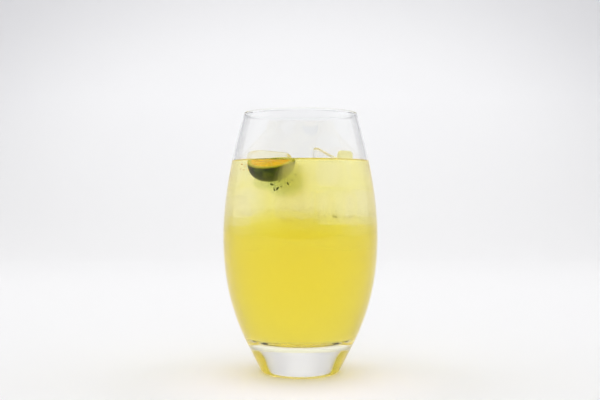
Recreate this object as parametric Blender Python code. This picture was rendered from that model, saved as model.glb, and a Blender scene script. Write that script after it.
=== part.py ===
"""A tall glass of calamansi juice with ice and half a fruit floating in it.

Units are metres and +Z is up. The origin is the middle of the foot, on the plane that the glass
stands on, and -Y is the front of the drink, the side where the half fruit floats.
"""

import math

import bmesh
import bpy
from mathutils import Euler, Vector, noise

MM = 0.001

# Outside of the glass
GLASS_HEIGHT = 140 * MM
BELLY_RADIUS = 41.9 * MM
BELLY_HEIGHT = 75 * MM
RIM_RADIUS = 30.6 * MM
KNEE_RADIUS = 29.7 * MM
KNEE_HEIGHT = 17 * MM
FOOT_RADIUS = 21.0 * MM
SHOULDER_POWER = 1.7
FLANK_POWER = 2.3
HEEL_RADIUS = 3.2 * MM
PUNT_RADIUS = 16.2 * MM
PUNT_DEPTH = 0.9 * MM

# Inside of the glass
RIM_WALL = 1.5 * MM
FLOOR_WALL = 3.2 * MM
FLOOR_HEIGHT = 17.2 * MM
CORNER_HEIGHT = 8 * MM
CORNER_POWER = 3.6

# Drink
LIQUID_LEVEL = 113.1 * MM
MENISCUS_HEIGHT = 0.8 * MM
MENISCUS_WIDTH = 2.4 * MM
GAP = 0.3 * MM

# Half fruit, given by the middle of its cut face
FRUIT_RADIUS = 11.4 * MM
FRUIT_DEPTH = 10.6 * MM
DOME_POWER = 2.3
FRUIT_PLACE = Vector((-13.7, -17.0, 112.4)) * MM
FRUIT_TILT = math.radians(16.0)
FRUIT_ROLL = math.radians(-6)
FRUIT_SEGMENTS = 8
RIND_EDGE = 0.7 * MM
PITH_WIDTH = 1.3 * MM
PULP_RADIUS = FRUIT_RADIUS - RIND_EDGE - PITH_WIDTH
CORE_RADIUS = 1.1 * MM
PULP_RELIEF = 0.45 * MM

# Ice
ICE_POWER = 5.0
ICE_DENT = 0.5 * MM
ICE_DENT_SIZE = 9 * MM
ICE_CUTS = 4
FALL_POWER = 0.75

# Mesh steps
TURN_STEPS = 56
FRUIT_STEPS = 48


def clear_scene():
    """Remove what the scene holds, with the meshes and materials left unused."""
    for item in list(bpy.data.objects):
        bpy.data.objects.remove(item, do_unlink=True)
    for store in (bpy.data.meshes, bpy.data.materials):
        for item in list(store):
            if item.users == 0:
                store.remove(item)


def make_material(name, colour, roughness, metallic=0.0):
    """One Principled material with a plain colour."""
    material = bpy.data.materials.new(name)
    material.use_nodes = True
    shader = material.node_tree.nodes["Principled BSDF"]
    shader.inputs["Base Color"].default_value = (*colour, 1.0)
    shader.inputs["Roughness"].default_value = roughness
    shader.inputs["Metallic"].default_value = metallic
    return material


def make_object(name, mesh_work, material):
    """Turn a finished bmesh into a smooth-shaded object of the scene."""
    bmesh.ops.recalc_face_normals(mesh_work, faces=mesh_work.faces[:])
    mesh = bpy.data.meshes.new(name)
    mesh_work.to_mesh(mesh)
    mesh_work.free()
    mesh.shade_smooth()
    mesh.set_sharp_from_angle(angle=math.radians(40))
    mesh.materials.append(material)
    thing = bpy.data.objects.new(name, mesh)
    bpy.context.scene.collection.objects.link(thing)
    return thing


def outer_radius(height):
    """Radius of the outside: two power curves that meet at the belly, and a straight foot."""
    if height >= BELLY_HEIGHT:
        share = (height - BELLY_HEIGHT) / (GLASS_HEIGHT - BELLY_HEIGHT)
        return BELLY_RADIUS - (BELLY_RADIUS - RIM_RADIUS) * share ** SHOULDER_POWER
    if height >= KNEE_HEIGHT:
        share = (BELLY_HEIGHT - height) / (BELLY_HEIGHT - KNEE_HEIGHT)
        return BELLY_RADIUS - (BELLY_RADIUS - KNEE_RADIUS) * share ** FLANK_POWER
    return FOOT_RADIUS + (KNEE_RADIUS - FOOT_RADIUS) * height / KNEE_HEIGHT


def wall_lean(height):
    """Angle between the outside of the wall and the vertical, positive where it opens upwards."""
    step = 0.5 * MM
    change = outer_radius(height + step) - outer_radius(height - step)
    return math.atan2(change, 2 * step)


def inner_radius(height):
    """Radius of the inside of the wall, which thickens from the rim to the floor."""
    share = (GLASS_HEIGHT - height) / (GLASS_HEIGHT - FLOOR_HEIGHT)
    return outer_radius(height) - RIM_WALL - (FLOOR_WALL - RIM_WALL) * share ** 2


def spaced(start, end, count):
    """Values from start to end, both included."""
    return [start + (end - start) * i / (count - 1) for i in range(count)]


def arc(centre, radius, start, end, count):
    """Points of an arc in the plane of radius and height."""
    return [
        (centre[0] + radius * math.cos(angle), centre[1] + radius * math.sin(angle))
        for angle in spaced(start, end, count)
    ]


def punt_profile():
    """The shallow hollow under the foot, from the axis out to the standing ring."""
    points = []
    for share in spaced(0.0, 1.0, 5):
        points.append((PUNT_RADIUS * share, PUNT_DEPTH * (1 - share ** 2) ** 2))
    return points


def outer_profile():
    """The foot, the rounded heel and the outside of the wall, upwards."""
    heel_lean = wall_lean(HEEL_RADIUS / 2)
    top_of_heel = HEEL_RADIUS * (1 - math.sin(heel_lean))
    heel_centre = (outer_radius(top_of_heel) - HEEL_RADIUS * math.cos(heel_lean), HEEL_RADIUS)
    points = punt_profile()
    points += arc(heel_centre, HEEL_RADIUS, -math.pi / 2, -heel_lean, 4)
    for height in spaced(top_of_heel, GLASS_HEIGHT - RIM_WALL, 20)[1:]:
        points.append((outer_radius(height), height))
    return points


def rim_profile():
    """The round top of the wall, from its outside over to its inside."""
    lean = -wall_lean(GLASS_HEIGHT - RIM_WALL)
    half = RIM_WALL / 2
    height = GLASS_HEIGHT - half
    centre = (outer_radius(height + half * math.sin(lean)) - half * math.cos(lean), height)
    return arc(centre, half, lean, lean + math.pi, 6)


def hollow_profile(top):
    """The inside of the glass, from the axis of its floor up to the given height."""
    points = []
    for angle in spaced(0.0, math.pi / 2, 9):
        height = FLOOR_HEIGHT + CORNER_HEIGHT * (1 - math.cos(angle) ** (2 / CORNER_POWER))
        radius = inner_radius(height) * math.sin(angle) ** (2 / CORNER_POWER)
        points.append((radius, height))
    for height in spaced(FLOOR_HEIGHT + CORNER_HEIGHT, top, 13)[1:]:
        points.append((inner_radius(height), height))
    return points


def pulled_in(profile, distance):
    """A profile moved inwards by a distance square to itself, so that it clears a wall."""
    points = []
    for i, (radius, height) in enumerate(profile):
        before = profile[max(i - 1, 0)]
        after = profile[min(i + 1, len(profile) - 1)]
        along = Vector((after[0] - before[0], after[1] - before[1])).normalized()
        if i == 0:
            points.append((0.0, height + distance))
            continue
        points.append((radius - along.y * distance, height + along.x * distance))
    return points


def turned(name, profile, material, steps=TURN_STEPS):
    """A solid of revolution about the Z axis; both ends of its profile lie on the axis."""
    work = bmesh.new()
    corners = [work.verts.new((radius, 0.0, height)) for radius, height in profile]
    edges = [work.edges.new(pair) for pair in zip(corners, corners[1:])]
    bmesh.ops.spin(
        work,
        geom=corners + edges,
        cent=(0, 0, 0),
        axis=(0, 0, 1),
        angle=2 * math.pi,
        steps=steps,
        use_merge=True,
    )
    bmesh.ops.remove_doubles(work, verts=work.verts[:], dist=0.005 * MM)
    return make_object(name, work, material)


def make_glass():
    """The tumbler: one thick-based, barrel-shaped shell with a round rim."""
    rim = rim_profile()
    hollow = hollow_profile(top=rim[-1][1])[:-1]
    profile = outer_profile() + rim + hollow[::-1]
    material = make_material("clear_glass", (0.92, 0.94, 0.94), 0.05)
    return turned("glass", profile, material)


def meniscus_profile(edge_radius):
    """The top of the drink: it climbs a little where it meets the wall."""
    points = []
    for share in spaced(0.0, 1.0, 4)[1:]:
        climb = MENISCUS_HEIGHT * (1 - share) ** 2
        points.append((edge_radius - MENISCUS_WIDTH * share, LIQUID_LEVEL + climb))
    points.append((0.0, LIQUID_LEVEL))
    return points


def make_juice(neighbours):
    """The drink up to its level, cut clear of what floats in its surface."""
    side = pulled_in(hollow_profile(LIQUID_LEVEL + MENISCUS_HEIGHT), GAP)
    profile = side + meniscus_profile(side[-1][0])
    juice = turned("juice", profile, make_material("juice", (0.86, 0.74, 0.10), 0.2))
    for cutter in neighbours:
        cutter.hide_render = True
        cutter.display_type = "WIRE"
        cut = juice.modifiers.new(cutter.name, "BOOLEAN")
        cut.operation = "DIFFERENCE"
        cut.solver = "EXACT"
        cut.object = cutter
    return juice


def fruit_profile(grow):
    """Half a fruit in section: from the bottom of the rind, round to the middle of the face."""
    radius = FRUIT_RADIUS + grow
    depth = FRUIT_DEPTH + grow
    points = []
    for angle in spaced(0.0, math.pi / 2, 11)[:-1]:
        out = math.sin(angle) ** (2 / DOME_POWER)
        down = math.cos(angle) ** (2 / DOME_POWER)
        points.append((radius * out, -depth * down))
    rings = [radius, FRUIT_RADIUS - RIND_EDGE]
    rings += spaced(PULP_RADIUS, CORE_RADIUS, 5)
    rings.append(0.0)
    points += [(ring, grow) for ring in rings]
    return points


def pulp_depth(radius, turn):
    """How far the pulp lies below the membranes, at one spot of the cut face."""
    if not CORE_RADIUS * 1.5 < radius < PULP_RADIUS - 0.1 * MM:
        return 0.0
    return PULP_RELIEF * abs(math.sin(turn * FRUIT_SEGMENTS / 2)) ** 0.5


def half_fruit(name, material, grow=0.0):
    """The half fruit, cut face up, in its place; grown, it is the space that it needs."""
    fruit = turned(name, fruit_profile(grow), material, FRUIT_STEPS)
    if grow == 0.0:
        for corner in fruit.data.vertices:
            if corner.co.z > -0.01 * MM:
                radius = math.hypot(corner.co.x, corner.co.y)
                turn = math.atan2(corner.co.y, corner.co.x)
                corner.co.z -= pulp_depth(radius, turn)
    fruit.rotation_euler = Euler((FRUIT_TILT, FRUIT_ROLL, 0.0))
    fruit.location = FRUIT_PLACE
    return fruit


def rounded(corner):
    """A point of a unit cube moved onto a cube with melted, rounded edges."""
    reach = sum(abs(value) ** ICE_POWER for value in corner) ** (1 / ICE_POWER)
    return corner / reach


def ice_block(name, material, size, place, turn, fall=0.0, grow=0.0):
    """One melted block of ice.

    size and place are in metres, turn holds its angles about X, Y and Z in degrees, and fall is
    how much its top drops from its left side to its right side, in metres.
    """
    work = bmesh.new()
    bmesh.ops.create_cube(work, size=2.0)
    bmesh.ops.subdivide_edges(work, edges=work.edges[:], cuts=ICE_CUTS, use_grid_fill=True)
    half = Vector(size) / 2
    for corner in work.verts:
        unit = rounded(corner.co)
        point = Vector(value * length for value, length in zip(unit, half))
        sample = (point + Vector(place)) / ICE_DENT_SIZE
        dent = ICE_DENT * noise.noise(sample)
        if unit.z > 0:
            point.z -= fall * unit.z * max(0.0, (unit.x + 1) / 2) ** FALL_POWER
        corner.co = point + unit.normalized() * (dent + grow)
    angles = Euler([math.radians(value) for value in turn])
    block = make_object(name, work, material)
    block.rotation_euler = angles
    block.location = place
    return block


ICE_BLOCKS = {
    "ice_front_right": {
        "size": (19.5 * MM, 17.0 * MM, 24.6 * MM),
        "place": (16.2 * MM, -12.5 * MM, 110.5 * MM),
        "turn": (0, 2, -10),
        "fall": 10.5 * MM,
    },
    "ice_back_right": {
        "size": (8.8 * MM, 12.0 * MM, 18.0 * MM),
        "place": (24.7 * MM, 9.0 * MM, 111.3 * MM),
        "turn": (4, 3, -8),
        "fall": 0.6 * MM,
    },
    "ice_back_left": {
        "size": (25.0 * MM, 15.0 * MM, 20.0 * MM),
        "place": (-17.5 * MM, 11.5 * MM, 110.4 * MM),
        "turn": (3, 1, 25),
        "fall": 0.8 * MM,
    },
}


def make_contents():
    """The half fruit and the ice that breaks the surface, each with the space cut for it."""
    rind = make_material("calamansi", (0.80, 0.52, 0.07), 0.45)
    ice = make_material("ice", (0.93, 0.94, 0.88), 0.15)
    space = make_material("clearance", (0.5, 0.5, 0.5), 0.5)
    half_fruit("calamansi_half", rind)
    spaces = [half_fruit("calamansi_space", space, GAP)]
    for name, form in ICE_BLOCKS.items():
        ice_block(name, ice, **form)
        spaces.append(ice_block(name + "_space", space, grow=GAP, **form))
    return spaces


def main():
    """Build the glass, what floats in the drink, and the drink round it."""
    clear_scene()
    make_glass()
    spaces = make_contents()
    make_juice(spaces)


main()
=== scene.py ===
"""The looks of a tall glass of calamansi juice with ice and half a fruit in it.

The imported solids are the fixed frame. Units are metres, +Z is up, the origin is the middle of the
foot and -Y is the front of the drink.
"""

import logging
import math
from dataclasses import dataclass
from enum import Enum

import bmesh
import bpy
from mathutils import Euler, Matrix, Vector, noise


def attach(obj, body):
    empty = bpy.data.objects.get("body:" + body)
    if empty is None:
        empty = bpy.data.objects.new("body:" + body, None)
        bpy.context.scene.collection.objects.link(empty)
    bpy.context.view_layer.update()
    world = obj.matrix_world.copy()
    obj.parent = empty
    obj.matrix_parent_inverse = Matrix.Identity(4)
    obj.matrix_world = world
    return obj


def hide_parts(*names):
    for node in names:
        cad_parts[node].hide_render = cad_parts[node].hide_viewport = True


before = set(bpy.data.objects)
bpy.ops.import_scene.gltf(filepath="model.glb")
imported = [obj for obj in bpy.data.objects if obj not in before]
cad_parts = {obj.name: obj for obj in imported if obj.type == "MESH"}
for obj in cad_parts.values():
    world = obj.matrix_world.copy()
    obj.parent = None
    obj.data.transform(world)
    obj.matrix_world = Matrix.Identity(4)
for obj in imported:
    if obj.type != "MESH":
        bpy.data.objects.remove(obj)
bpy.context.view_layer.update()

MM = 0.001
BODY = "root"
WHITE = (1.0, 1.0, 1.0, 1.0)
SLACK = 0.01 * MM
WELD = 0.002 * MM

LOG = logging.getLogger("calamansi_juice")


class Slot(Enum):
    """The record's material slots."""

    GLASS = "clear_glass"
    JUICE = "juice"
    FRUIT = "calamansi"
    ICE = "ice"


def spaced(start: float, end: float, count: int) -> list[float]:
    """Values from start to end, both included.

    Args:
        start: The first value.
        end: The last value.
        count: How many values there are.

    Returns:
        The values, evenly spaced.
    """
    return [start + (end - start) * i / (count - 1) for i in range(count)]


def arc(centre: tuple, radius: float, start: float, end: float, count: int) -> list[tuple]:
    """Points of an arc in the plane of radius and height.

    Args:
        centre: Radius and height of the arc's centre.
        radius: Radius of the arc.
        start: Angle of its first point, in radians.
        end: Angle of its last point, in radians.
        count: How many points there are.

    Returns:
        Pairs of radius and height.
    """
    return [
        (centre[0] + radius * math.cos(angle), centre[1] + radius * math.sin(angle))
        for angle in spaced(start, end, count)
    ]


@dataclass
class Tree:
    """A material's node tree, with short calls to add and join nodes."""

    tree: bpy.types.NodeTree

    def add(self, kind: str, values: dict | None = None, **settings: object) -> bpy.types.Node:
        """Add a node.

        Args:
            kind: The node's type name, without its ShaderNode prefix.
            values: Socket names with their values, or the sockets that feed them.
            settings: Properties of the node.

        Returns:
            The new node.
        """
        node = self.tree.nodes.new("ShaderNode" + kind)
        for name, value in settings.items():
            setattr(node, name, value)
        for name, value in (values or {}).items():
            if isinstance(value, bpy.types.NodeSocket):
                self.tree.links.new(value, node.inputs[name])
            else:
                node.inputs[name].default_value = value
        return node

    def join(self, source: bpy.types.NodeSocket, target: bpy.types.NodeSocket) -> None:
        """Link two sockets."""
        self.tree.links.new(source, target)

    def maths(self, kind: str, *values: object) -> bpy.types.NodeSocket:
        """Add a Math node of a kind and return its result."""
        return self.add("Math", dict(enumerate(values)), operation=kind).outputs[0]

    def smooth(self, value: bpy.types.NodeSocket, start: float, end: float) -> bpy.types.NodeSocket:
        """Add a smooth step.

        Args:
            value: The socket to read.
            start: The value that gives 0.
            end: The value that gives 1.

        Returns:
            The step's result.
        """
        values = {"Value": value, "From Min": start, "From Max": end}
        node = self.add("MapRange", values, interpolation_type="SMOOTHSTEP")
        return node.outputs["Result"]

    def mix(
        self, share: bpy.types.NodeSocket, first: object, second: object
    ) -> bpy.types.NodeSocket:
        """Add a mix of two colours.

        Args:
            share: The socket that gives the second colour's share.
            first: The first colour, or the socket that feeds it.
            second: The second colour, or the socket that feeds it.

        Returns:
            The mixed colour.
        """
        values = {0: share, 6: first, 7: second}
        return self.add("Mix", values, data_type="RGBA").outputs[2]


def new_material(name: str) -> tuple[bpy.types.Material, Tree, bpy.types.Node]:
    """Make an empty node material.

    Args:
        name: The material's name.

    Returns:
        The material, its tree and its output node.
    """
    material = bpy.data.materials.new(name)
    material.use_nodes = True
    material.node_tree.nodes.clear()
    tree = Tree(material.node_tree)
    return material, tree, tree.add("OutputMaterial")


@dataclass(frozen=True)
class ClearStuff:
    """A clear material that bends light by its index."""

    name: str
    ior: float
    tint: tuple = WHITE
    roughness: float = 0.0

    def shader(self, tree: Tree) -> bpy.types.NodeSocket:
        """Add its shader to a tree and return it."""
        values = {
            "Base Color": self.tint,
            "Roughness": self.roughness,
            "IOR": self.ior,
            "Transmission Weight": 1.0,
        }
        return tree.add("BsdfPrincipled", values).outputs["BSDF"]

    def material(self) -> bpy.types.Material:
        """Return the material."""
        material, tree, out = new_material(self.name)
        tree.join(self.shader(tree), out.inputs["Surface"])
        return material


@dataclass(frozen=True)
class Cloudy:
    """Juice, pulp or icy haze: what it takes from light and scatters, both per metre.

    Its surface, where it has an index, is clear.
    """

    name: str
    taken: tuple | None = None
    scattered: float = 0.0
    forward: float = 0.85
    density: float = 60.0
    index: float = 0.0
    tint: tuple = WHITE

    def material(self) -> bpy.types.Material:
        """Return the material."""
        material, tree, out = new_material(self.name)
        parts = []
        if self.taken:
            kept = tuple(1 - amount / self.density for amount in self.taken) + (1.0,)
            parts.append(tree.add("VolumeAbsorption", {"Color": kept, "Density": self.density}))
        if self.scattered:
            values = {"Color": WHITE, "Density": self.scattered, "Anisotropy": self.forward}
            parts.append(tree.add("VolumeScatter", values))
        whole = parts[0].outputs[0]
        if len(parts) == 2:
            both = tree.add("AddShader", {0: whole, 1: parts[1].outputs[0]})
            whole = both.outputs[0]
        tree.join(whole, out.inputs["Volume"])
        if self.index:
            skin = ClearStuff(self.name, self.index, self.tint).shader(tree)
            tree.join(skin, out.inputs["Surface"])
        return material


@dataclass(frozen=True)
class Optics:
    """Refractive indices of the drink."""

    glass: float = 1.5
    juice: float = 1.345
    ice: float = 1.13
    sunk_ice: float = 1.0
    rim: float = 1.1

    @property
    def wetted(self) -> float:
        """Return the index of the glass against the juice."""
        return self.glass / self.juice


@dataclass(frozen=True)
class Paper:
    """White studio paper with painted shade and painted light: greyer away from the middle and
    where it lies flat, with a painted pool of light on the floor round the glass's foot.
    """

    # Painted shade: the paper greys from the middle colour to the outer one away from the middle of
    # the wall.
    middle: tuple = (0.91, 0.91, 0.92, 1.0)
    outer: tuple = (0.74, 0.74, 0.76, 1.0)
    # Painted shade: the flat floor is greyer than the wall.
    flat: tuple = (0.785, 0.783, 0.784, 1.0)
    # Painted light: a brighter pool on the floor in front of the glass, where its shadow falls.
    painted_light: tuple = (0.95, 0.925, 0.965, 1.0)
    height: float = 0.2
    reach_across: float = 0.85
    reach_up: float = 0.42
    lift: float = 0.3
    painted_light_reach: tuple = (0.02, 0.09)
    painted_light_place: tuple = (0.0, -0.03, 0.0)
    fade: tuple = (0.45, 1.15)
    roughness: float = 0.9

    def material(self) -> bpy.types.Material:
        """Return the material."""
        material, tree, out = new_material("paper")
        place = tree.add("TexCoord").outputs["Object"]
        moved = tree.add(
            "Mapping",
            {
                "Vector": place,
                "Location": (0.0, 0.0, -self.height / self.reach_up),
                "Scale": (1 / self.reach_across, 0.0, 1 / self.reach_up),
            },
        )
        away = tree.add("VectorMath", {0: moved.outputs[0]}, operation="LENGTH")
        shade = tree.smooth(away.outputs["Value"], *self.fade)
        height = tree.add("SeparateXYZ", {"Vector": place}).outputs["Z"]
        rise = tree.add("MapRange", {"Value": height, "From Max": self.lift})
        # Painted light: the brighter pool round the glass's foot.
        gap = tree.add("VectorMath", {0: place, 1: self.painted_light_place}, operation="DISTANCE")
        painted_light_share = tree.smooth(gap.outputs["Value"], self.painted_light_reach[1], self.painted_light_reach[0])
        wall = tree.mix(shade, self.middle, self.outer)
        # Painted shade: the flat floor greyer than the wall.
        sheet = tree.mix(rise.outputs["Result"], self.flat, wall)
        tone = tree.mix(painted_light_share, sheet, self.painted_light)
        shader = tree.add("BsdfPrincipled", {"Base Color": tone, "Roughness": self.roughness})
        tree.join(shader.outputs["BSDF"], out.inputs["Surface"])
        return material


def new_mesh(name: str, work: bmesh.types.BMesh) -> bpy.types.Mesh:
    """Write a bmesh into a new mesh and free it.

    Args:
        name: The mesh's name.
        work: The bmesh.

    Returns:
        The mesh.
    """
    mesh = bpy.data.meshes.new(name)
    work.to_mesh(mesh)
    work.free()
    return mesh


def new_object(name: str, data: bpy.types.ID) -> bpy.types.Object:
    """Put an object into the scene.

    Args:
        name: The object's name.
        data: Its mesh, camera or lamp.

    Returns:
        The object.
    """
    made = bpy.data.objects.new(name, data)
    bpy.context.scene.collection.objects.link(made)
    return made


def as_piece(
    name: str,
    work: bmesh.types.BMesh,
    materials: list,
    replaced: tuple = (),
    recalculate: bool = True,
) -> bpy.types.Object:
    """Turn a finished bmesh into a smooth piece that rides on the one body.

    Args:
        name: The piece's name.
        work: The finished bmesh, which is freed.
        materials: Its materials, in the order of its faces' indices.
        replaced: Names of the solids that it stands for.
        recalculate: Whether its faces are turned outwards.

    Returns:
        The new object.
    """
    if recalculate:
        bmesh.ops.recalc_face_normals(work, faces=work.faces[:])
    mesh = new_mesh(name, work)
    mesh.shade_smooth()
    for material in materials:
        mesh.materials.append(material)
    piece = new_object(name, mesh)
    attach(piece, BODY)
    if replaced:
        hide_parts(*replaced)
    LOG.info("%s: %d faces", name, len(mesh.polygons))
    return piece


def turned(profile: list[tuple], steps: int) -> bmesh.types.BMesh:
    """Spin a profile about the Z axis into a closed body.

    Args:
        profile: Pairs of radius and height, from axis to axis.
        steps: Steps in the full turn.

    Returns:
        A bmesh of the body.
    """
    work = bmesh.new()
    corners = [work.verts.new((radius, 0.0, height)) for radius, height in profile]
    edges = [work.edges.new(pair) for pair in zip(corners, corners[1:])]
    bmesh.ops.spin(
        work,
        geom=corners + edges,
        cent=(0, 0, 0),
        axis=(0, 0, 1),
        angle=2 * math.pi,
        steps=steps,
        use_merge=True,
    )
    bmesh.ops.remove_doubles(work, verts=work.verts[:], dist=WELD)
    return work


@dataclass
class Tumbler:
    """The glass: a thick-based, barrel-shaped shell with a round rim."""

    height: float = 140 * MM
    belly_radius: float = 41.9 * MM
    belly_height: float = 75 * MM
    rim_radius: float = 30.6 * MM
    knee_radius: float = 29.7 * MM
    knee_height: float = 17 * MM
    foot_radius: float = 21.0 * MM
    shoulder_power: float = 1.7
    flank_power: float = 2.3
    heel_radius: float = 3.2 * MM
    punt_radius: float = 16.2 * MM
    punt_depth: float = 0.9 * MM
    rim_wall: float = 1.5 * MM
    floor_wall: float = 3.2 * MM
    floor_height: float = 17.2 * MM
    corner_height: float = 8 * MM
    corner_power: float = 3.6
    wet_height: float = 113.85 * MM
    rim_share: float = 0.8
    inner_share: float = 0.4
    tint: tuple = (0.992, 0.996, 0.995, 1.0)
    rim_roughness: float = 0.05
    steps: int = 168

    def outer_radius(self, height: float) -> float:
        """Find the outside of the wall.

        Args:
            height: Height above the foot.

        Returns:
            The outer radius there.
        """
        if height >= self.belly_height:
            share = (height - self.belly_height) / (self.height - self.belly_height)
            reach = self.belly_radius - self.rim_radius
            return self.belly_radius - reach * share ** self.shoulder_power
        if height >= self.knee_height:
            share = (self.belly_height - height) / (self.belly_height - self.knee_height)
            reach = self.belly_radius - self.knee_radius
            return self.belly_radius - reach * share ** self.flank_power
        share = height / self.knee_height
        return self.foot_radius + (self.knee_radius - self.foot_radius) * share

    def wall_lean(self, height: float) -> float:
        """Find the wall's lean.

        Args:
            height: Height above the foot.

        Returns:
            Its angle from the vertical, positive where it opens upwards.
        """
        step = 0.5 * MM
        change = self.outer_radius(height + step) - self.outer_radius(height - step)
        return math.atan2(change, 2 * step)

    def inner_radius(self, height: float) -> float:
        """Find the inside of the wall.

        Args:
            height: Height above the foot.

        Returns:
            The inner radius there.
        """
        share = (self.height - height) / (self.height - self.floor_height)
        wall = self.rim_wall + (self.floor_wall - self.rim_wall) * share ** 2
        return self.outer_radius(height) - wall

    def outer_profile(self) -> list[tuple]:
        """Return the foot, the rounded heel and the outside of the wall, upwards."""
        points = [
            (self.punt_radius * share, self.punt_depth * (1 - share ** 2) ** 2)
            for share in spaced(0.0, 1.0, 14)
        ]
        lean = self.wall_lean(self.heel_radius / 2)
        top = self.heel_radius * (1 - math.sin(lean))
        centre = (self.outer_radius(top) - self.heel_radius * math.cos(lean), self.heel_radius)
        points += arc(centre, self.heel_radius, -math.pi / 2, -lean, 9)
        for height in spaced(top, self.height - self.rim_wall, 90)[1:]:
            points.append((self.outer_radius(height), height))
        return points

    def rim_profile(self) -> list[tuple]:
        """Return the round top of the wall, from its outside over to its inside."""
        lean = -self.wall_lean(self.height - self.rim_wall)
        half = self.rim_wall / 2
        height = self.height - half
        reach = self.outer_radius(height + half * math.sin(lean)) - half * math.cos(lean)
        return arc((reach, height), half, lean, lean + math.pi, 14)

    def hollow_profile(self, top: float) -> list[tuple]:
        """Return the inside of the glass, from the axis upwards.

        Args:
            top: Height of its end.

        Returns:
            Pairs of radius and height.
        """
        points = []
        power = 2 / self.corner_power
        for angle in spaced(0.0, math.pi / 2, 28):
            height = self.floor_height + self.corner_height * (1 - math.cos(angle) ** power)
            points.append((self.inner_radius(height) * math.sin(angle) ** power, height))
        foot = self.floor_height + self.corner_height
        share = max(2, round(70 * (top - foot) / (self.height - foot)))
        for height in spaced(foot, top, share)[1:]:
            points.append((self.inner_radius(height), height))
        return points

    def build(self, optics: Optics) -> bpy.types.Object:
        """Return the finished glass.

        Args:
            optics: The refractive indices.

        Returns:
            The glass, with its wetted wall in a material of its own.
        """
        rim = self.rim_profile()
        hollow = self.hollow_profile(self.wet_height)
        dry = [
            (self.inner_radius(height), height)
            for height in spaced(self.wet_height, rim[-1][1], 18)[1:-1]
        ]
        work = turned(self.outer_profile() + rim + (hollow + dry)[::-1], self.steps)
        floor = self.floor_height - SLACK
        rim_foot = self.height - self.rim_share * self.rim_wall
        for face in work.faces:
            middle = face.calc_center_median()
            if middle.z > rim_foot:
                face.material_index = 2
            elif floor <= middle.z <= self.wet_height:
                inner = self.inner_radius(middle.z) + self.inner_share * self.rim_wall
                if math.hypot(middle.x, middle.y) < inner:
                    face.material_index = 1
        materials = [
            ClearStuff("clear_glass", optics.glass, self.tint).material(),
            ClearStuff("wetted_glass", optics.wetted).material(),
            ClearStuff("rim_glass", optics.rim, self.tint, self.rim_roughness).material(),
        ]
        return as_piece("tumbler", work, materials, ("glass",))


class Clarity(Enum):
    """How much light the fine bubbles in a block of ice scatter, per metre."""

    CLEAR = 12.0
    CLOUDY = 35.0


@dataclass
class IceBlock:
    """One melted block of ice, given by its size, place and turn."""

    name: str
    size: tuple
    place: tuple
    turn: tuple
    fall: float = 0.0
    replaced: tuple = ()
    cloud: Clarity = Clarity.CLEAR
    frost: float = 0.3
    tint: tuple = (1.0, 0.99, 0.95, 1.0)
    power: float = 5.0
    dent: float = 0.5 * MM
    dent_size: float = 9 * MM
    fall_power: float = 0.75
    haze_forward: float = 0.7
    cuts: int = 13

    def mesh(self, grow: float = 0.0) -> bmesh.types.BMesh:
        """Return the block in its place.

        Args:
            grow: How far it stands out from its true surface, in metres.

        Returns:
            A bmesh of the block.
        """
        work = bmesh.new()
        bmesh.ops.create_cube(work, size=2.0)
        bmesh.ops.subdivide_edges(work, edges=work.edges[:], cuts=self.cuts, use_grid_fill=True)
        half = Vector(self.size) / 2
        for corner in work.verts:
            reach = sum(abs(value) ** self.power for value in corner.co) ** (1 / self.power)
            unit = corner.co / reach
            point = Vector(value * length for value, length in zip(unit, half))
            dent = self.dent * noise.noise((point + Vector(self.place)) / self.dent_size)
            if unit.z > 0:
                share = max(0.0, (unit.x + 1) / 2)
                point.z -= self.fall * unit.z * share ** self.fall_power
            corner.co = point + unit.normalized() * (dent + grow)
        angles = Euler([math.radians(value) for value in self.turn])
        bmesh.ops.transform(
            work,
            matrix=Matrix.Translation(self.place) @ angles.to_matrix().to_4x4(),
            verts=work.verts[:],
        )
        return work

    def float_in(self, level: float, optics: Optics) -> None:
        """Build the block so that it stands out of the juice.

        Args:
            level: Height of the juice.
            optics: The refractive indices.
        """
        work = self.mesh()
        bmesh.ops.bisect_plane(
            work,
            geom=work.verts[:] + work.edges[:] + work.faces[:],
            dist=SLACK,
            plane_co=(0, 0, level),
            plane_no=(0, 0, 1),
        )
        for face in work.faces:
            if face.calc_center_median().z < level:
                face.material_index = 1
        materials = [
            ClearStuff(self.name, optics.ice, self.tint, self.frost).material(),
            ClearStuff("ice_in_juice", optics.sunk_ice).material(),
        ]
        as_piece(self.name, work, materials, self.replaced)

    def sink(self, optics: Optics) -> None:
        """Build the block wholly in the juice.

        Args:
            optics: The refractive indices.
        """
        scattered, index = self.cloud.value, optics.sunk_ice
        haze = Cloudy(self.name, None, scattered, self.haze_forward, index=index)
        as_piece(self.name, self.mesh(), [haze.material()])


def block(name: str, size: tuple, place: tuple, turn: tuple, **more: object) -> IceBlock:
    """Return a block of ice.

    Args:
        name: The block's name.
        size: Its width, depth and height, in millimetres.
        place: Its middle, in millimetres.
        turn: Its turn about each axis, in degrees.
        more: Other fields of the block.

    Returns:
        The block.
    """
    size = tuple(value * MM for value in size)
    place = tuple(value * MM for value in place)
    return IceBlock(name, size, place, turn, **more)


FLOATING_ICE = (
    block(
        "ice_front_right_piece",
        (19.5, 17.0, 24.6),
        (16.2, -12.5, 110.5),
        (0, 2, -10),
        fall=10.5 * MM,
        replaced=("ice_front_right",),
        frost=0.06,
    ),
    block(
        "ice_back_right_piece",
        (8.8, 12.0, 18.0),
        (24.7, 9.0, 111.3),
        (4, 3, -8),
        fall=0.6 * MM,
        replaced=("ice_back_right",),
        tint=(0.92, 0.87, 0.40, 1.0),
    ),
    block(
        "ice_back_left_piece",
        (25.0, 15.0, 20.0),
        (-17.5, 11.5, 110.4),
        (3, 1, 25),
        fall=0.8 * MM,
        replaced=("ice_back_left",),
        tint=(0.985, 0.96, 0.78, 1.0),
    ),
)

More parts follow.
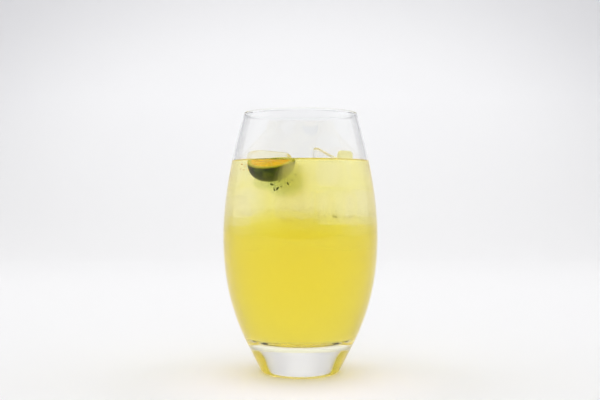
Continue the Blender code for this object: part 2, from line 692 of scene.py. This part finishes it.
SUNK_ICE = (
    block("ice_front_chip", (16, 7, 20), (-3.5, -30.6, 96.5), (-5, 0, 0)),
    block("ice_low_front_left", (16, 16, 16), (-23.3, -18.8, 91.5), (4, 3, 38)),
    block("ice_low_front", (18, 17, 17), (-2.6, -13.6, 90.5), (2, -2, -3), cloud=Clarity.CLOUDY),
    block("ice_low_front_right", (18.5, 17, 18), (16.5, -22.0, 88.5), (-2, 1.5, -16)),
    block("ice_low_right", (19, 18, 20), (27.5, -1.5, 87.2), (4, -3, 86), cloud=Clarity.CLOUDY),
    block("ice_low_back_right", (18, 17, 18), (20.4, 19.5, 87.4), (5, 4, 48)),
    block("ice_low_back", (18, 18, 18), (0.0, 26.6, 86.4), (-4, 5, 2), cloud=Clarity.CLOUDY),
    block("ice_low_back_left", (17, 17, 18), (-20.6, 18.6, 88.0), (3, -4, -44)),
    block("ice_low_left", (17, 16, 17), (-28.2, 0.2, 85.8), (-5, 3, 88), cloud=Clarity.CLOUDY),
    block("ice_low_middle", (18, 18, 20), (3.0, 6.5, 86.0), (7, 5, 24), cloud=Clarity.CLOUDY),
    block("ice_high_middle", (15, 16, 14), (7.5, 10.6, 104.8), (-3, 4, 9)),
    block("ice_high_back", (21, 12, 14), (3.5, 28.5, 104.2), (2, -3, -5)),
    block("ice_high_left", (10, 11, 13), (-30.6, -7.4, 104.0), (2, 4, 12)),
    block("ice_high_right", (8, 12, 12), (31.0, -4.2, 104.9), (-3, 2, 0)),
)


@dataclass
class Drink:
    """The juice: it fills the tumbler up to its level and wraps the ice."""

    tumbler: Tumbler
    level: float = 113.1 * MM
    meniscus_height: float = 0.8 * MM
    meniscus_width: float = 2.4 * MM
    reach: float = 0.2 * MM
    cavity: float = 0.05 * MM
    skin: float = 0.03 * MM
    layers: tuple = (67 * MM, 74 * MM, 79.5 * MM, 84 * MM)
    hump: float = 3.5 * MM
    hump_width: float = 14 * MM
    hump_place: float = -2 * MM
    wave: float = 2.0 * MM
    wave_length: float = 11 * MM
    calm: float = 3 * MM
    pale: Cloudy = Cloudy("pale_juice", (0.1, 0.8, 14.0), index=1.0, tint=(1.0, 0.99, 0.9, 1.0))
    pale_haze: Cloudy = Cloudy("pale_haze", None, 10.0)
    rich: Cloudy = Cloudy("rich_juice", (0.008, 0.4, 8.8), 12.0)
    steps: int = 144

    def side(self, top: float, reach: float) -> list[tuple]:
        """Return the section that reaches into the wall, from the axis up to a height.

        Args:
            top: Height of its end.
            reach: How far it reaches into the wall.

        Returns:
            Pairs of radius and height.
        """
        hollow = self.tumbler.hollow_profile(top)
        side = [(0.0, hollow[0][1] - reach)]
        for i in range(1, len(hollow)):
            before = hollow[i - 1]
            after = hollow[min(i + 1, len(hollow) - 1)]
            along = Vector((after[0] - before[0], after[1] - before[1])).normalized()
            radius, height = hollow[i]
            side.append((radius + along.y * reach, height - along.x * reach))
        return side

    def profile(self) -> list[tuple]:
        """Return the drink's section, from the middle of the floor to the middle of its top."""
        edge = self.tumbler.inner_radius(self.level)
        top = []
        for share in spaced(0.0, 1.0, 12):
            climb = self.meniscus_height * (1 - share) ** 2
            top.append((edge - self.meniscus_width * share, self.level + climb))
        rings = spaced(edge - self.meniscus_width, 0.0, 16)[1:]
        side = self.side(self.level + self.meniscus_height, self.reach)
        return side + top + [(ring, self.level) for ring in rings]

    def settled(self, top: float, reach: float) -> bmesh.types.BMesh:
        """Return the lower part of the drink, up to a wavy top.

        Args:
            top: Height of the wavy top beside the wall.
            reach: How far it reaches into the wall.

        Returns:
            A bmesh of that part.
        """
        side = self.side(top, reach)
        rings = spaced(side[-1][0], 0.0, 30)[1:]
        work = turned(side + [(ring, top) for ring in rings], self.steps)
        for corner in work.verts:
            if corner.co.z < top - SLACK:
                continue
            flat = Vector((corner.co.x, corner.co.y, 0.0))
            edge = min(1.0, (side[-1][0] - flat.length) / self.calm)
            hump = self.hump * math.exp(-(((flat.x - self.hump_place) / self.hump_width) ** 2))
            corner.co.z += edge * (hump + self.wave * noise.noise(flat / self.wave_length))
        return work

    def spaces(self, blocks: tuple) -> bpy.types.Object:
        """Return one object with the space of every block.

        Args:
            blocks: The blocks of ice.

        Returns:
            The object, to be removed after the cut.
        """
        whole = bmesh.new()
        for block in blocks:
            part = block.mesh(self.cavity)
            bmesh.ops.recalc_face_normals(part, faces=part.faces[:])
            mesh = new_mesh("space", part)
            whole.from_mesh(mesh)
            bpy.data.meshes.remove(mesh)
        return new_object("spaces", new_mesh("spaces", whole))

    def body(self, work: bmesh.types.BMesh, spaces: bpy.types.Object) -> bpy.types.Mesh:
        """Return a closed mesh of a part of the drink, cut round its ice.

        Args:
            work: The uncut part, which is freed.
            spaces: The object that holds the spaces of the ice.

        Returns:
            The mesh.
        """
        bmesh.ops.recalc_face_normals(work, faces=work.faces[:])
        drink = new_object("drink", new_mesh("drink", work))
        step = drink.modifiers.new("cut", "BOOLEAN")
        step.operation = "DIFFERENCE"
        step.object = spaces
        step.solver = "EXACT"
        depsgraph = bpy.context.evaluated_depsgraph_get()
        result = bpy.data.meshes.new_from_object(drink.evaluated_get(depsgraph))
        bpy.data.objects.remove(drink)
        return result

    def surface(self, mesh: bpy.types.Mesh) -> bmesh.types.BMesh:
        """Return the open top of the drink, lifted just off its body.

        Args:
            mesh: The drink's closed mesh.

        Returns:
            A bmesh of the top alone.
        """
        work = bmesh.new()
        work.from_mesh(mesh)
        below = [
            face
            for face in work.faces
            if face.calc_center_median().z < self.level - self.skin or face.normal.z < 0.5
        ]
        bmesh.ops.delete(work, geom=below, context="FACES")
        bmesh.ops.translate(work, vec=(0, 0, self.skin), verts=work.verts[:])
        return work

    def fill(
        self,
        name: str,
        mesh: bpy.types.Mesh,
        stuff: bpy.types.Material,
        replaced: tuple = (),
        inset: float = 0.0,
    ) -> None:
        """Build one body of the drink.

        Args:
            name: The body's name.
            mesh: Its closed mesh.
            stuff: Its material.
            replaced: Names of the solids that it stands for.
            inset: How far it lies within the mesh.
        """
        work = bmesh.new()
        work.from_mesh(mesh)
        if inset:
            for corner in work.verts:
                corner.co -= corner.normal * inset
        as_piece(name, work, [stuff], replaced, False)

    def build(self, blocks: tuple, optics: Optics) -> None:
        """Build the drink: pale juice throughout, richer juice low down, and its top.

        Args:
            blocks: The blocks of ice in it.
            optics: The refractive indices.
        """
        spaces = self.spaces(blocks)
        whole = self.body(turned(self.profile(), self.steps), spaces)
        self.fill("juice_body", whole, self.pale.material(), replaced=("juice",))
        self.fill("juice_body_haze", whole, self.pale_haze.material(), inset=self.skin)
        rich = self.rich.material()
        for i, top in enumerate(self.layers):
            part = self.body(self.settled(top, self.reach - (i + 2) * self.skin), spaces)
            self.fill(f"juice_settled_{i + 1}", part, rich)
        bpy.data.objects.remove(spaces)
        top = ClearStuff("juice_top", optics.juice).material()
        as_piece("juice_surface", self.surface(whole), [top], (), False)


@dataclass(frozen=True)
class Shell:
    """One shell of a cloud of pulp, with some dark shells of painted shade: its size, its place and
    what it takes and scatters.
    """

    size: tuple
    place: tuple
    scattered: float
    taken: tuple


@dataclass
class PulpAndShadeCloud:
    """Pulp and oil that drift round the cut fruit, thick in the middle and thin at the edges, with
    dark shells of painted shade over the fruit's right part and under it.
    """

    shells: tuple = (
        Shell((22, 11, 23), (-2.5, -30.0, 101.0), 30.0, (1.0, 1.0, 12.0)),
        Shell((15, 8, 19), (-3.8, -30.6, 103.0), 65.0, (4.0, 4.0, 32.0)),
        Shell((10, 6, 15), (-4.4, -31.2, 105.2), 110.0, (9.0, 8.0, 60.0)),
        # Partly green pulp and partly painted shade: a dark cloud over the fruit's right part.
        Shell((18, 8, 16), (-7.5, -27.5, 101.8), 8.0, (38.0, 26.0, 59.0)),
        # Painted shadow: a dark cloud under the fruit.
        Shell((17, 7, 8), (-15.0, -27.5, 101.6), 8.0, (36.0, 28.0, 59.0)),
        Shell((19, 5, 12), (-14.2, -28.6, 107.0), 1.0, (1.0, 1.0, 120.0)),
    )
    power: float = 2.2
    turn: tuple = (-4, 0, 3)
    forward: float = 0.35
    density: float = 150.0

    def build(self) -> None:
        """Build the cloud as shells that overlap."""
        for i, shell in enumerate(self.shells):
            form = block("pulp", shell.size, shell.place, self.turn, power=self.power)
            name = f"pulp_{i + 1}"
            stuff = Cloudy(name, shell.taken, shell.scattered, self.forward, self.density)
            as_piece(f"pulp_and_shade_cloud_{i + 1}", form.mesh(), [stuff.material()])


@dataclass(frozen=True)
class Speck:
    """One loose bit of the fruit: where it is seen from the front, and its length."""

    across: float
    height: float
    length: float
    turn: float


@dataclass
class LooseBits:
    """Bits of rind and loose sacs of pulp that float just inside the front wall."""

    tumbler: Tumbler
    depth: float = 1.1 * MM
    lean: tuple = (0.4, 0.3)
    roughness: float = 0.4
    mottle_scale: float = 900.0
    rind: tuple = (
        Speck(-14.0, 100.6, 2.0, 20),
        Speck(-11.3, 98.5, 2.3, -50),
        Speck(-12.8, 98.0, 1.7, 75),
        Speck(-9.4, 99.4, 1.2, 10),
        Speck(-6.1, 100.9, 1.8, 60),
        Speck(-4.0, 102.6, 0.8, -20),
        Speck(-8.3, 96.4, 0.8, 35),
        Speck(-10.2, 102.2, 1.0, -70),
        Speck(-2.2, 105.4, 1.0, 30),
    )
    sacs: tuple = (
        Speck(-29.5, 111.2, 1.9, 15),
        Speck(-27.6, 110.2, 1.6, -40),
        Speck(-26.4, 111.6, 1.4, 70),
        Speck(-28.4, 108.4, 1.3, -10),
        Speck(-26.0, 108.2, 1.5, 50),
        Speck(-30.2, 108.9, 1.2, 85),
    )

    def bits(self, specks: tuple, girth: float, taper: float) -> bmesh.types.BMesh:
        """Return the specks as small drops.

        Args:
            specks: Where they are.
            girth: Their width as a share of their length.
            taper: How much they narrow towards one end, from 0 to 1.

        Returns:
            A bmesh of all of them.
        """
        work = bmesh.new()
        for speck in specks:
            height = speck.height * MM
            across = speck.across * MM
            reach = self.tumbler.inner_radius(height)
            front = math.sqrt(reach ** 2 - across ** 2) - self.depth
            half = speck.length * MM / 2
            ball = bmesh.ops.create_uvsphere(work, u_segments=16, v_segments=12, radius=1.0)
            made = ball["verts"]
            for corner in made:
                slim = girth * (1 - taper * (corner.co.x + 1) / 2)
                dent = 1 + 0.25 * noise.noise(corner.co * 1.3 + Vector((speck.turn, 0, 0)))
                slimmed = Vector((corner.co.x, corner.co.y * slim, corner.co.z * slim))
                corner.co = slimmed * half * dent
            angles = Euler((self.lean[0], math.radians(speck.turn), self.lean[1]))
            place = Matrix.Translation((across, -front, height))
            matrix = place @ angles.to_matrix().to_4x4()
            bmesh.ops.transform(work, matrix=matrix, verts=made)
        return work

    def skin(self, name: str, dark: tuple, light: tuple, wet: float) -> bpy.types.Material:
        """Return a mottled material.

        Args:
            name: The material's name.
            dark: Its darker colour.
            light: Its lighter colour.
            wet: Weight of its clear coat.

        Returns:
            The material.
        """
        material, tree, out = new_material(name)
        place = tree.add("TexCoord").outputs["Object"]
        values = {"Vector": place, "Scale": self.mottle_scale, "Detail": 3.0}
        patches = tree.add("TexNoise", values)
        tone = tree.add("ValToRGB", {"Fac": patches.outputs["Fac"]})
        ramp = tone.color_ramp
        ramp.elements[0].position, ramp.elements[0].color = 0.35, dark
        ramp.elements[1].position, ramp.elements[1].color = 0.65, light
        shader = tree.add(
            "BsdfPrincipled",
            {
                "Base Color": tone.outputs["Color"],
                "Roughness": self.roughness,
                "Coat Weight": wet,
            },
        )
        tree.join(shader.outputs["BSDF"], out.inputs["Surface"])
        return material

    def build(self) -> None:
        """Build the bits of rind and the sacs."""
        dark, light = (0.003, 0.012, 0.0, 1.0), (0.05, 0.07, 0.003, 1.0)
        rind = self.skin("rind_bits", dark, light, 0.2)
        as_piece("rind_bits", self.bits(self.rind, 0.45, 0.2), [rind])
        dark, light = (0.78, 0.42, 0.03, 1.0), (0.95, 0.72, 0.16, 1.0)
        sac = self.skin("pulp_sacs", dark, light, 0.6)
        as_piece("pulp_sacs", self.bits(self.sacs, 0.5, 0.6), [sac])


@dataclass(frozen=True)
class Rind:
    """Oily green rind with fine pores, paler and yellower towards its cut edge."""

    deep: tuple = (0.004, 0.018, 0.0, 1.0)
    middle: tuple = (0.03, 0.065, 0.001, 1.0)
    light: tuple = (0.13, 0.17, 0.003, 1.0)
    edge: tuple = (0.46, 0.46, 0.02, 1.0)
    patch_scale: float = 210.0
    pore_scale: float = 1300.0
    pore_depth: float = 0.12 * MM
    edge_height: float = 0.9 * MM
    edge_end: float = 0.05 * MM

    def material(self) -> bpy.types.Material:
        """Return the material."""
        material, tree, out = new_material("calamansi_rind")
        place = tree.add("TexCoord").outputs["Object"]
        own = tree.add("UVMap", uv_map="own").outputs["UV"]
        values = {"Vector": place, "Scale": self.patch_scale, "Detail": 4.0}
        patches = tree.add("TexNoise", values)
        skin = tree.add("ValToRGB", {"Fac": patches.outputs["Fac"]})
        ramp = skin.color_ramp
        ramp.elements[0].position, ramp.elements[0].color = 0.36, self.deep
        ramp.elements[1].position, ramp.elements[1].color = 0.68, self.light
        ramp.elements.new(0.5).color = self.middle
        depth = tree.add("SeparateXYZ", {"Vector": own}).outputs["Y"]
        near_edge = tree.smooth(depth, -self.edge_height, -self.edge_end)
        pores = tree.add("TexVoronoi", {"Vector": place, "Scale": self.pore_scale})
        dimples = tree.smooth(pores.outputs["Distance"], 0.05, 0.5)
        values = {"Height": dimples, "Strength": 0.5, "Distance": self.pore_depth}
        shader = tree.add(
            "BsdfPrincipled",
            {
                "Base Color": tree.mix(near_edge, skin.outputs["Color"], self.edge),
                "Roughness": 0.34,
                "IOR": 1.15,
                "Normal": tree.add("Bump", values).outputs["Normal"],
                "Coat Weight": 0.06,
                "Coat Roughness": 0.12,
            },
        )
        tree.join(shader.outputs["BSDF"], out.inputs["Surface"])
        return material


@dataclass(frozen=True)
class Flesh:
    """The cut face: pale pith, pale membranes and orange sacs that run outwards."""

    pulp_radius: float
    core_radius: float
    segments: int
    pith: tuple = (0.66, 0.60, 0.10, 1.0)
    membrane: tuple = (0.86, 0.66, 0.26, 1.0)
    deep: tuple = (0.80, 0.40, 0.004, 1.0)
    light: tuple = (0.98, 0.68, 0.03, 1.0)
    wall_reach: tuple = (0.1 * MM, 0.32 * MM)
    rim_reach: tuple = (0.3 * MM, 0.15 * MM)
    core_reach: float = 0.2 * MM
    rows: float = 420.0
    rows_round: float = 7.5
    sac_size: float = 0.75
    sac_relief: float = 0.35 * MM

    def pattern(self, tree: Tree) -> tuple:
        """Add the face's pattern: sacs, membranes, core and pith.

        Args:
            tree: The tree to add to.

        Returns:
            The sockets of the colour and of the sacs' height.
        """
        own = tree.add("UVMap", uv_map="own").outputs["UV"]
        split = tree.add("SeparateXYZ", {"Vector": own})
        across, along = split.outputs["X"], split.outputs["Y"]
        square = tree.maths("MULTIPLY", across, across)
        radius = tree.maths("SQRT", tree.maths("ADD", square, tree.maths("MULTIPLY", along, along)))
        turn = tree.maths("ARCTAN2", along, across)
        step = 2 * math.pi / self.segments
        to_wall = tree.maths("PINGPONG", tree.maths("MULTIPLY", turn, 1 / step), 0.5)
        gap = tree.maths("MULTIPLY", tree.maths("MULTIPLY", to_wall, step), radius)
        wall = tree.smooth(gap, self.wall_reach[1], self.wall_reach[0])
        inner, outer = self.rim_reach
        rim = tree.smooth(radius, self.pulp_radius - inner, self.pulp_radius + outer)
        edge = self.core_radius + self.core_reach
        core = tree.smooth(radius, edge, self.core_radius - self.core_reach)
        place = {
            "X": tree.maths("MULTIPLY", radius, self.rows),
            "Y": tree.maths("MULTIPLY", turn, self.rows_round),
        }
        stretched = tree.add("CombineXYZ", place).outputs[0]
        sacs = tree.add("TexVoronoi", {"Vector": stretched, "Scale": 1.0})
        values = {"Value": sacs.outputs["Distance"], "From Min": 0.0, "From Max": self.sac_size}
        tone = tree.add("MapRange", values).outputs["Result"]
        pulp = tree.mix(tone, self.deep, self.light)
        walled = tree.mix(tree.maths("MAXIMUM", wall, core), pulp, self.membrane)
        height = tree.maths("SUBTRACT", 1.0, tone)
        lumps = tree.maths("MULTIPLY", height, tree.maths("SUBTRACT", 1.0, rim))
        return tree.mix(rim, walled, self.pith), lumps

    def material(self) -> bpy.types.Material:
        """Return the material."""
        material, tree, out = new_material("calamansi_flesh")
        colour, lumps = self.pattern(tree)
        values = {"Height": lumps, "Strength": 0.8, "Distance": self.sac_relief}
        shader = tree.add(
            "BsdfPrincipled",
            {
                "Base Color": colour,
                "Roughness": 0.28,
                "IOR": 1.25,
                "Normal": tree.add("Bump", values).outputs["Normal"],
                "Subsurface Weight": 0.25,
                "Subsurface Radius": (1.0, 0.6, 0.15),
                "Subsurface Scale": 1.2 * MM,
                "Coat Weight": 0.18,
                "Coat Roughness": 0.08,
            },
        )
        tree.join(shader.outputs["BSDF"], out.inputs["Surface"])
        return material


@dataclass
class Calamansi:
    """Half a calamansi, cut across, afloat with its cut face tipped to the front."""

    radius: float = 11.4 * MM
    depth: float = 10.6 * MM
    dome_power: float = 2.3
    place: tuple = (-13.7 * MM, -17.0 * MM, 112.4 * MM)
    tilt: float = math.radians(16.0)
    roll: float = math.radians(-6.0)
    segments: int = 8
    rind_edge: float = 0.7 * MM
    pith_width: float = 1.3 * MM
    core_radius: float = 1.1 * MM
    relief: float = 0.36 * MM
    grain: float = 0.12 * MM
    lip: float = 0.25 * MM
    cup: float = 1.2 * MM
    plug: float = 1.15 * MM
    fit: float = 0.02 * MM
    steps: int = 144

    @property
    def pulp_radius(self) -> float:
        """Return the radius at which the pulp meets the pith."""
        return self.radius - self.rind_edge - self.pith_width

    def dome(self) -> bmesh.types.BMesh:
        """Return the rind as a shallow closed cup, in its own frame."""
        power = 2 / self.dome_power
        profile = [
            (self.radius * math.sin(angle) ** power, -self.depth * math.cos(angle) ** power)
            for angle in spaced(0.0, math.pi / 2, 44)[:-1]
        ]
        lip, inner = self.lip, self.radius - self.rind_edge
        profile += arc((self.radius - lip, -lip), lip, 0.0, math.pi / 2, 6)
        profile += [(inner, -self.fit), (inner, -self.cup), (0.0, -self.cup)]
        return turned(profile, self.steps)

    def face(self) -> bmesh.types.BMesh:
        """Return the pith and the pulp as a closed plug, in its own frame."""
        edge = self.radius - self.rind_edge - self.fit
        profile = [(0.0, -self.plug), (edge, -self.plug)]
        profile += [(edge, height) for height in (-0.6 * MM, -0.12 * MM)]
        profile += [(radius, 0.0) for radius in spaced(edge - 0.12 * MM, 0.0, 60)]
        work = turned(profile, self.steps)
        for corner in work.verts:
            if corner.co.z < -0.05 * MM:
                continue
            radius = math.hypot(corner.co.x, corner.co.y)
            turn = math.atan2(corner.co.y, corner.co.x)
            corner.co.z -= self.pulp_depth(radius, turn)
        return work

    def pulp_depth(self, radius: float, turn: float) -> float:
        """Return how far the pulp is sunk between its membranes.

        Args:
            radius: Distance from the middle of the face.
            turn: Angle about the middle.

        Returns:
            The depth below the cut.
        """
        if radius >= self.pulp_radius or radius <= self.core_radius:
            return 0.0
        share = (radius - self.core_radius) / (self.pulp_radius - self.core_radius)
        rise = min(1.0, 8 * share, 8 * (1 - share))
        hollow = abs(math.sin(turn * self.segments / 2)) ** 0.5
        grain = self.grain * noise.noise(Vector((radius / (0.9 * MM), turn * 9, 2.0)))
        return (self.relief + grain) * rise * hollow

    def mapped(self, work: bmesh.types.BMesh, upright: bool) -> None:
        """Give the mesh its own coordinates and set it in its place.

        Args:
            work: The mesh, in its own frame.
            upright: Whether the coordinates are radius and height, not the face's plane.
        """
        layer = work.loops.layers.uv.new("own")
        for part in work.faces:
            for loop in part.loops:
                co = loop.vert.co
                loop[layer].uv = (math.hypot(co.x, co.y), co.z) if upright else (co.x, co.y)
        angles = Euler((self.tilt, self.roll, 0.0)).to_matrix().to_4x4()
        bmesh.ops.transform(
            work, matrix=Matrix.Translation(self.place) @ angles, verts=work.verts[:]
        )

    def build(self) -> None:
        """Build the rind and the cut face."""
        dome = self.dome()
        self.mapped(dome, True)
        as_piece("calamansi_rind", dome, [Rind().material()], ("calamansi_half",))
        face = self.face()
        self.mapped(face, False)
        flesh = Flesh(self.pulp_radius, self.core_radius, self.segments)
        as_piece("calamansi_flesh", face, [flesh.material()])


@dataclass
class Studio:
    """A plain pale floor that curves up into a wall, soft light and the camera."""

    photo_width: int = 600
    focal_pixels: float = 860.0
    axis_pixel: float = 300.4
    distance: float = 468 * MM
    eye_height: float = 92.9 * MM
    sensor: float = 36.0
    wall_distance: float = 1.3
    wall_height: float = 1.6
    bend: float = 0.5
    half_width: float = 2.2
    front: float = 1.7
    front_height: float = 0.6
    front_bend: float = 0.35
    sky: tuple = (0.985, 0.985, 1.0, 1.0)
    front_light: float = 0.12
    back_light: float = 0.9
    top_power: float = 8.75
    wall_power: float = 9.2
    fill_power: float = 2.7

    def camera(self) -> None:
        """Set up the camera, level with the middle of the drink."""
        data = bpy.data.cameras.new("camera")
        data.sensor_width = self.sensor
        data.lens = self.focal_pixels * self.sensor / self.photo_width
        camera = new_object("camera", data)
        aside = (self.photo_width / 2 - self.axis_pixel) / self.focal_pixels * self.distance
        camera.location = (aside, -self.distance, self.eye_height)
        camera.rotation_euler = (math.pi / 2, 0.0, 0.0)
        data.clip_start = 0.01
        bpy.context.scene.camera = camera

    def sheet(
        self, name: str, line: list[tuple], paper: bpy.types.Material, mirrored: bool
    ) -> None:
        """Add one curved sheet of paper.

        Args:
            name: The sheet's name.
            line: Its section, as pairs of depth and height.
            paper: Its material.
            mirrored: Whether the glass mirrors it.
        """
        work = bmesh.new()
        corners = [work.verts.new((-self.half_width, y, z)) for y, z in line]
        edges = [work.edges.new(pair) for pair in zip(corners, corners[1:])]
        made = bmesh.ops.extrude_edge_only(work, edges=edges)
        moved = [item for item in made["geom"] if isinstance(item, bmesh.types.BMVert)]
        bmesh.ops.translate(work, vec=(2 * self.half_width, 0, 0), verts=moved)
        bmesh.ops.recalc_face_normals(work, faces=work.faces[:])
        mesh = new_mesh(name, work)
        mesh.shade_smooth()
        mesh.materials.append(paper)
        sheet = new_object(name, mesh)
        sheet.visible_glossy = mirrored

    def sweep(self) -> None:
        """Make the floor with the wall behind, and a low wall in front."""
        centre = (-self.front + self.front_bend, self.front_bend)
        front = [(-self.front, self.front_height)]
        front += arc(centre, self.front_bend, -math.pi, -math.pi / 2, 16)
        centre = (self.wall_distance - self.bend, self.bend)
        back = [front[-1]] + arc(centre, self.bend, -math.pi / 2, 0.0, 24)
        back.append((self.wall_distance, self.wall_height))
        paper = Paper().material()
        self.sheet("sweep", back, paper, True)
        self.sheet("low_wall", front, paper, False)

    def lamp(
        self,
        name: str,
        place: tuple,
        aim: tuple,
        size: tuple,
        power: float,
        mirrored: bool = True,
    ) -> None:
        """Add one soft rectangular lamp.

        Args:
            name: The lamp's name.
            place: Where it stands.
            aim: The point that it faces.
            size: Its width and height.
            power: Its power in watts.
            mirrored: Whether the glass shows it.
        """
        data = bpy.data.lights.new(name, "AREA")
        data.shape = "RECTANGLE"
        data.size, data.size_y = size
        data.energy = power
        lamp = new_object(name, data)
        lamp.location = place
        way = Vector(aim) - Vector(place)
        lamp.rotation_euler = way.to_track_quat("-Z", "Y").to_euler()
        lamp.visible_glossy = mirrored
        lamp.visible_transmission = mirrored

    def light(self) -> None:
        """Set up the soft room light and the lamps."""
        world = bpy.data.worlds.new("room")
        world.use_nodes = True
        tree = Tree(world.node_tree)
        sky = world.node_tree.nodes["Background"]
        sky.inputs["Color"].default_value = self.sky
        ways = tree.add("SeparateXYZ", {"Vector": tree.add("TexCoord").outputs["Generated"]})
        strength = tree.add(
            "MapRange",
            {
                "Value": ways.outputs["Y"],
                "From Min": -0.75,
                "From Max": 0.0,
                "To Min": self.front_light,
                "To Max": self.back_light,
            },
            interpolation_type="SMOOTHSTEP",
        )
        tree.join(strength.outputs["Result"], sky.inputs["Strength"])
        bpy.context.scene.world = world
        self.lamp("top_box", (0.0, 0.2, 1.5), (0.0, 0.2, 0.0), (1.6, 1.6), self.top_power)
        self.lamp("wall_box", (0.0, 0.35, 1.4), (0.0, 1.3, 0.6), (2.2, 0.5), self.wall_power)
        self.lamp("fill_box", (0.0, -0.8, 1.2), (0.0, 0.0, 0.0), (1.2, 0.8), self.fill_power, False)

    def build(self) -> None:
        """Build the stage."""
        scene = bpy.context.scene
        scene.view_settings.view_transform = "Standard"
        cycles = scene.cycles
        cycles.max_bounces = 256
        cycles.transmission_bounces = 160
        cycles.glossy_bounces = 64
        cycles.volume_bounces = 64
        cycles.diffuse_bounces = 6
        cycles.blur_glossy = 0.0
        cycles.caustics_reflective = True
        cycles.caustics_refractive = True
        self.camera()
        self.sweep()
        self.light()


def main() -> None:
    """Build the stage and every piece of the drink."""
    logging.basicConfig(level=logging.INFO, format="%(name)s: %(message)s")
    Studio().build()
    optics = Optics()
    tumbler = Tumbler()
    tumbler.build(optics)
    drink = Drink(tumbler)
    drink.build(FLOATING_ICE + SUNK_ICE, optics)
    for block in FLOATING_ICE:
        block.float_in(drink.level, optics)
    for block in SUNK_ICE:
        block.sink(optics)
    PulpAndShadeCloud().build()
    LooseBits(tumbler).build()
    Calamansi().build()


if __name__ == "__main__":
    main()
